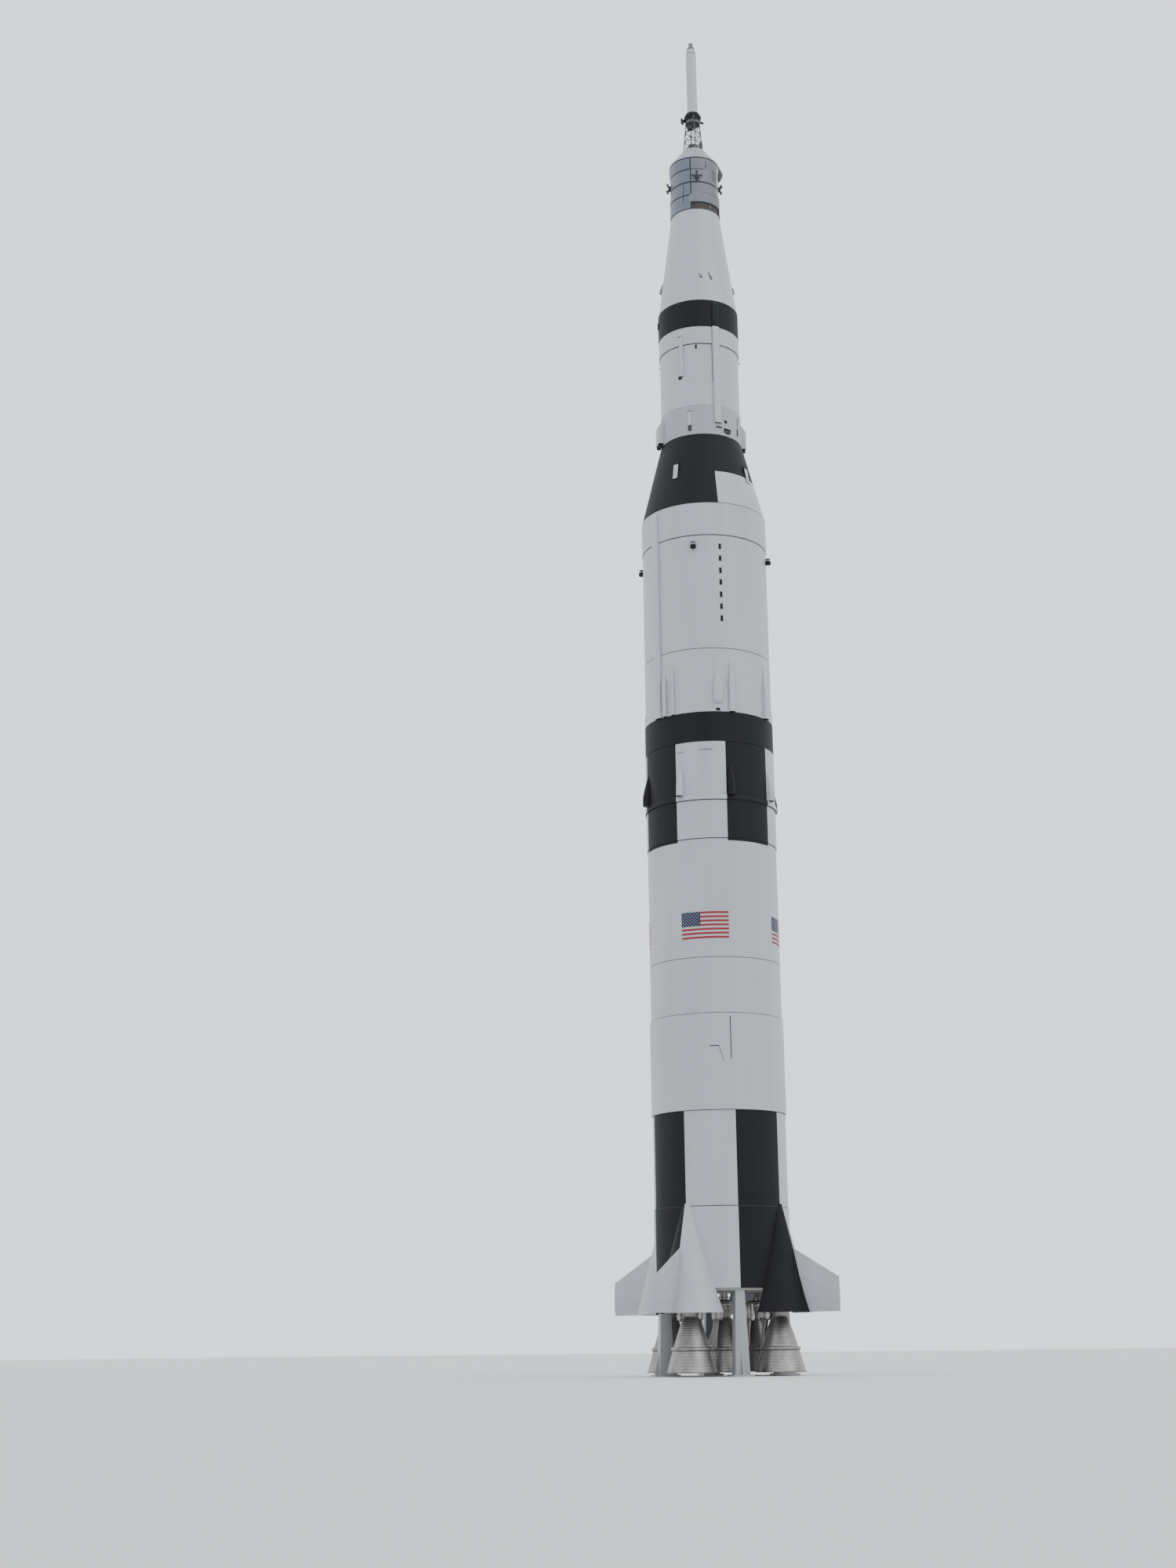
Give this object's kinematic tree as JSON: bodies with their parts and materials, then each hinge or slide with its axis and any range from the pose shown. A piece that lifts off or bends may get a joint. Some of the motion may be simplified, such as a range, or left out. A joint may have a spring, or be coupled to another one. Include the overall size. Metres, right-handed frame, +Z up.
{
  "type": "one-tenth scale model of a three-stage space rocket",
  "caption": "Upright three-stage rocket, one-tenth scale, with swept fins, swivelling engine bells, tapered upper stages, crew cone and lattice escape tower, standing on short posts.",
  "frame": {"origin": "on the floor, at the middle of the rocket's foot, on its axis", "axes": "+Z up along the rocket, X and Y along the two pairs of fins"},
  "size_m": [1.9228, 1.9228, 11.1041],
  "materials": {
    "white_paint": "satin white paint on sheet metal, slightly weathered",
    "black_paint": "satin black paint on sheet metal",
    "silver_panel": "silver-grey panels with dark seams",
    "tower_paint": "dark grey paint on tube",
    "engine_metal": "heat-stained steel with hoop bands",
    "gimbal_steel": "machined steel",
    "post_steel": "grey paint on welded plate"
  },
  "bodies": {
    "stack": {"support_post_1": "post_steel", "support_post_2": "post_steel", "support_post_3": "post_steel", "support_post_4": "post_steel", "thrust_structure": "white_paint", "engine_centre": "engine_metal", "engine_fairing_1": "white_paint", "engine_fairing_2": "white_paint", "engine_fairing_3": "white_paint", "engine_fairing_4": "white_paint", "fin_1": "white_paint", "fin_2": "white_paint", "fin_3": "white_paint", "fin_4": "white_paint", "first_fuel_tank": "white_paint", "first_intertank": "white_paint", "first_oxidizer_tank_lower": "white_paint", "first_oxidizer_tank_upper": "white_paint", "first_forward_skirt": "white_paint", "interstage": "white_paint", "second_aft_skirt": "black_paint", "second_tank_lower": "white_paint", "second_tank_upper": "white_paint", "second_forward_skirt": "white_paint", "second_systems_tunnel": "white_paint", "feed_fairing_1": "white_paint", "feed_fairing_2": "white_paint", "feed_fairing_3": "white_paint", "feed_fairing_4": "white_paint", "feed_fairing_5": "white_paint", "conical_interstage": "black_paint", "third_aft_skirt": "white_paint", "third_tank": "white_paint", "third_forward_skirt": "white_paint", "third_systems_tunnel": "white_paint", "third_cable_cover": "white_paint", "control_module_1": "white_paint", "control_module_2": "white_paint", "instrument_ring": "black_paint", "adapter_cone": "white_paint", "service_section": "silver_panel", "thruster_quad_1": "silver_panel", "thruster_quad_2": "silver_panel", "thruster_quad_3": "silver_panel", "thruster_quad_4": "silver_panel", "umbilical_housing": "silver_panel", "crew_cone": "white_paint", "escape_tower": "tower_paint", "escape_skirt": "black_paint", "escape_motor": "white_paint", "nose_cap": "white_paint"},
    "gimbal_1": {"gimbal_cross_1": "gimbal_steel"},
    "gimbal_2": {"gimbal_cross_2": "gimbal_steel"},
    "gimbal_3": {"gimbal_cross_3": "gimbal_steel"},
    "gimbal_4": {"gimbal_cross_4": "gimbal_steel"},
    "outer_engine_1": {"engine_1": "engine_metal"},
    "outer_engine_2": {"engine_2": "engine_metal"},
    "outer_engine_3": {"engine_3": "engine_metal"},
    "outer_engine_4": {"engine_4": "engine_metal"}
  },
  "joints": [
    {"name": "engine_1_swing_y", "type": "hinge", "parent": "stack", "child": "gimbal_1", "pos_m": [0, -0.46228, 0.57199], "axis": [0, 1, 0], "range_deg": [-5, 5]},
    {"name": "engine_1_swing_x", "type": "hinge", "parent": "gimbal_1", "child": "outer_engine_1", "pos_m": [0, -0.46228, 0.57199], "axis": [1, 0, 0], "range_deg": [-5, 5]},
    {"name": "engine_2_swing_y", "type": "hinge", "parent": "stack", "child": "gimbal_2", "pos_m": [0.46228, 0, 0.57199], "axis": [0, 1, 0], "range_deg": [-5, 5]},
    {"name": "engine_2_swing_x", "type": "hinge", "parent": "gimbal_2", "child": "outer_engine_2", "pos_m": [0.46228, 0, 0.57199], "axis": [1, 0, 0], "range_deg": [-5, 5]},
    {"name": "engine_3_swing_y", "type": "hinge", "parent": "stack", "child": "gimbal_3", "pos_m": [0, 0.46228, 0.57199], "axis": [0, 1, 0], "range_deg": [-5, 5]},
    {"name": "engine_3_swing_x", "type": "hinge", "parent": "gimbal_3", "child": "outer_engine_3", "pos_m": [0, 0.46228, 0.57199], "axis": [1, 0, 0], "range_deg": [-5, 5]},
    {"name": "engine_4_swing_y", "type": "hinge", "parent": "stack", "child": "gimbal_4", "pos_m": [-0.46228, 0, 0.57199], "axis": [0, 1, 0], "range_deg": [-5, 5]},
    {"name": "engine_4_swing_x", "type": "hinge", "parent": "gimbal_4", "child": "outer_engine_4", "pos_m": [-0.46228, 0, 0.57199], "axis": [1, 0, 0], "range_deg": [-5, 5]}
  ]
}
